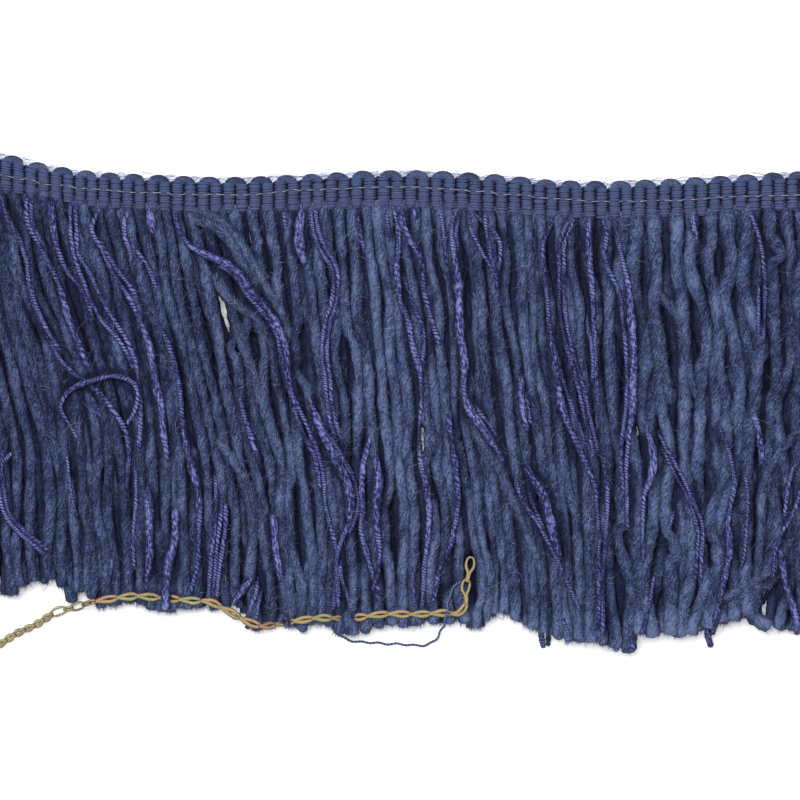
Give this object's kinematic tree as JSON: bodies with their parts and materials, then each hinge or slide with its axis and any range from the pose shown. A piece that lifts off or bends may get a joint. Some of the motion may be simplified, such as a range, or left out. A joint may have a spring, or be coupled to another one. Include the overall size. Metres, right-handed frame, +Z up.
{
  "type": "wool fringe trim",
  "caption": "Cut length of navy wool fringe trim with violet slub yarns, a scalloped woven heading and a chain stay stitch, lying flat.",
  "frame": {"origin": "middle of the trim's outline, on the surface that it lies on", "axes": "+X along the heading, +Y from the cut ends towards the heading, +Z up out of the face that shows"},
  "size_m": [0.2366, 0.1298, 0.007],
  "materials": {
    "navy_band": "matt woven ribs",
    "navy_wool": "matt fuzzy wool roving",
    "deep_wool": "matt fuzzy wool roving, lower layer",
    "violet_yarn": "soft twisted slub yarn",
    "gold_thread": "glossy twisted thread in olive gold and peach",
    "slate_thread": "thin plied thread"
  },
  "bodies": {
    "root": {"heading": "navy_band", "fringe_back": "deep_wool", "fringe_front": "navy_wool", "slub_yarns": "violet_yarn", "stay_chain": "gold_thread", "chain_tail": "gold_thread", "loose_thread": "slate_thread"}
  },
  "joints": []
}
